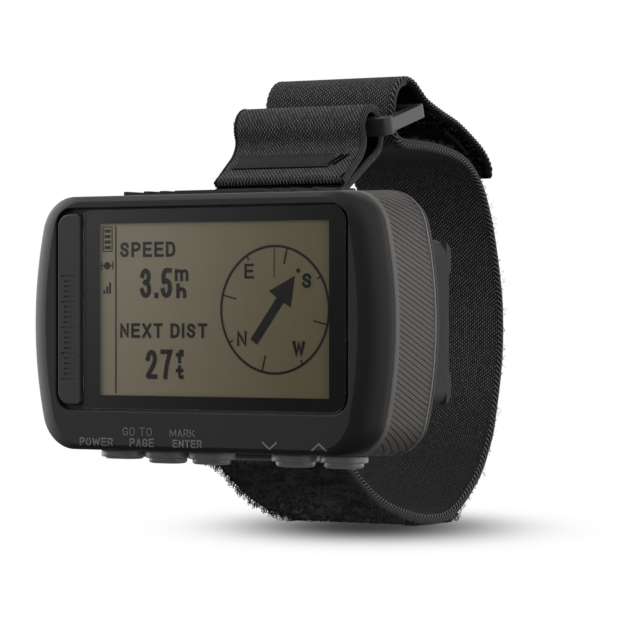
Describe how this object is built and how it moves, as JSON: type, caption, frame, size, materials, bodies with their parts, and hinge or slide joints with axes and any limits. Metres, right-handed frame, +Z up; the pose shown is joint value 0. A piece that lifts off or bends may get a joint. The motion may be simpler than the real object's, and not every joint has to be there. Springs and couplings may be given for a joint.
{
  "type": "wrist-worn gps unit",
  "caption": "Rugged navigation receiver with a screen and a row of keys, worn on the wrist by a hook-and-loop strap that runs through a ring.",
  "frame": {"origin": "on the ground under the middle of the whole object's box, with the strap standing on its lowest curve", "axes": "+X runs along the screen to its right, +Y from the screen back through the wrist loop, +Z up the screen"},
  "size_m": [0.0708, 0.0786, 0.0753],
  "materials": {
    "bezel": "fine matt moulded texture",
    "nameplate": "satin black",
    "lens": "clear window with a black border printed behind it",
    "lcd": "olive grey reflective display with dark segments",
    "light_guide": "frosted clear",
    "steel": "plain",
    "rubber": "matt black",
    "circuit_board": "green solder mask",
    "ceramic": "unglazed ceramic",
    "keys": "satin gunmetal grey",
    "grip_band": "warm grey with fine diamond texture and slanting grooves",
    "housing": "dark grey moulded texture",
    "cell_wrap": "printed wrap",
    "satin_plastic": "satin dark grey",
    "webbing": "fine twill webbing",
    "strap_knit": "knit inside, loop pile outside, overlocked edges",
    "hook_tape": "moulded hooks"
  },
  "bodies": {
    "root": {"front_bezel": "bezel", "nameplate": "nameplate", "display_lens": "lens", "lcd_panel": "lcd", "backlight_guide": "light_guide", "lcd_tray": "steel", "case_gasket": "rubber", "main_board": "circuit_board", "shield_can": "steel", "gps_antenna": "ceramic", "altimeter_sensor": "steel", "beeper": "bezel", "usb_port": "steel", "key_board": "circuit_board", "grip_band": "grip_band", "top_grip_pad": "rubber", "rear_housing": "housing", "battery_1": "cell_wrap", "battery_2": "cell_wrap", "battery_plate_left": "steel", "battery_plate_right": "steel", "battery_spring_1": "steel", "battery_spring_2": "steel", "battery_seal": "rubber", "strap_bar_top": "steel", "strap_bar_bottom": "steel", "front_loop": "webbing", "stitch_patch": "webbing", "wrist_strap": "strap_knit", "key_switch_1": "steel", "key_switch_2": "steel", "key_switch_3": "steel", "key_switch_4": "steel", "key_switch_5": "steel", "case_screw_1": "steel", "case_screw_2": "steel", "case_screw_3": "steel", "case_screw_4": "steel"},
    "power_button": {"power_button": "keys"},
    "page_button": {"page_button": "keys"},
    "enter_button": {"enter_button": "keys"},
    "down_button": {"down_button": "keys"},
    "up_button": {"up_button": "keys"},
    "battery_cover": {"battery_cover": "housing"},
    "cover_latch": {"cover_latch": "satin_plastic"},
    "usb_cap": {"usb_cap": "rubber"},
    "buckle_ring": {"buckle_ring": "satin_plastic"},
    "strap_tail": {"strap_tail": "strap_knit", "hook_tab": "hook_tape"}
  },
  "joints": [
    {"name": "power_press", "type": "slide", "parent": "root", "child": "power_button", "axis": [0, 0, 1], "range_m": [0, 0.0006], "stiffness_N_per_m": 2500},
    {"name": "page_press", "type": "slide", "parent": "root", "child": "page_button", "axis": [0, 0, 1], "range_m": [0, 0.0006], "stiffness_N_per_m": 2500},
    {"name": "enter_press", "type": "slide", "parent": "root", "child": "enter_button", "axis": [0, 0, 1], "range_m": [0, 0.0006], "stiffness_N_per_m": 2500},
    {"name": "down_press", "type": "slide", "parent": "root", "child": "down_button", "axis": [0, 0, 1], "range_m": [0, 0.0006], "stiffness_N_per_m": 2500},
    {"name": "up_press", "type": "slide", "parent": "root", "child": "up_button", "axis": [0, 0, 1], "range_m": [0, 0.0006], "stiffness_N_per_m": 2500},
    {"name": "battery_cover_lift", "type": "slide", "parent": "root", "child": "battery_cover", "axis": [0, 1, 0], "range_m": [0, 0.012]},
    {"name": "cover_latch_turn", "type": "hinge", "parent": "battery_cover", "child": "cover_latch", "pos_m": [0.0284, -0.01935, 0.0341], "axis": [0, 1, 0], "range_deg": [0, 90]},
    {"name": "usb_cap_open", "type": "hinge", "parent": "root", "child": "usb_cap", "pos_m": [-0.034, -0.02785, 0.0341], "axis": [0, 0, -1], "range_deg": [0, 100]},
    {"name": "buckle_ring_swivel", "type": "hinge", "parent": "root", "child": "buckle_ring", "pos_m": [0, -0.0064, 0.0663], "axis": [1, 0, 0], "range_deg": [-5, 5]},
    {"name": "strap_tail_peel", "type": "hinge", "parent": "root", "child": "strap_tail", "pos_m": [0, 0.00985, 0.0735], "axis": [1, 0, 0], "range_deg": [0, 75]}
  ]
}
